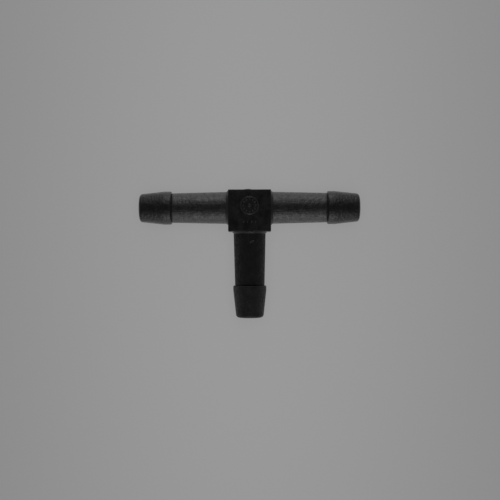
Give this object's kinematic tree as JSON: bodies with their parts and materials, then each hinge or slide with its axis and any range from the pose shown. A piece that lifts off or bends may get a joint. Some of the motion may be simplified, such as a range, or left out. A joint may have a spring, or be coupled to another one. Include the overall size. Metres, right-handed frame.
{
  "type": "barbed tee connector",
  "caption": "Black plastic tee for small-bore hose: a square block with hollow arms, each ending in a tapered barb, joined by a three-way bore.",
  "frame": {"origin": "where the axes of the run's bore and the branch's bore cross, inside the block", "axes": "+X along the run; the branch points along -Y; +Z out of the block's front face, which carries the raised dial. The tee lies flat on the block's back face, at -Z"},
  "size_m": [0.0336, 0.0197, 0.0054],
  "materials": {
    "block_plastic": "black plastic, satin moulded faces",
    "stem_plastic": "black plastic, fine spark-eroded mould texture",
    "barb_plastic": "black plastic, smooth satin"
  },
  "bodies": {
    "root": {"centre_block": "block_plastic", "left_stem": "stem_plastic", "right_stem": "stem_plastic", "branch_stem": "stem_plastic", "left_barb": "barb_plastic", "right_barb": "barb_plastic", "branch_barb": "barb_plastic", "gate_mark": "block_plastic", "dial_mark": "block_plastic", "row_mark": "block_plastic"}
  },
  "joints": []
}
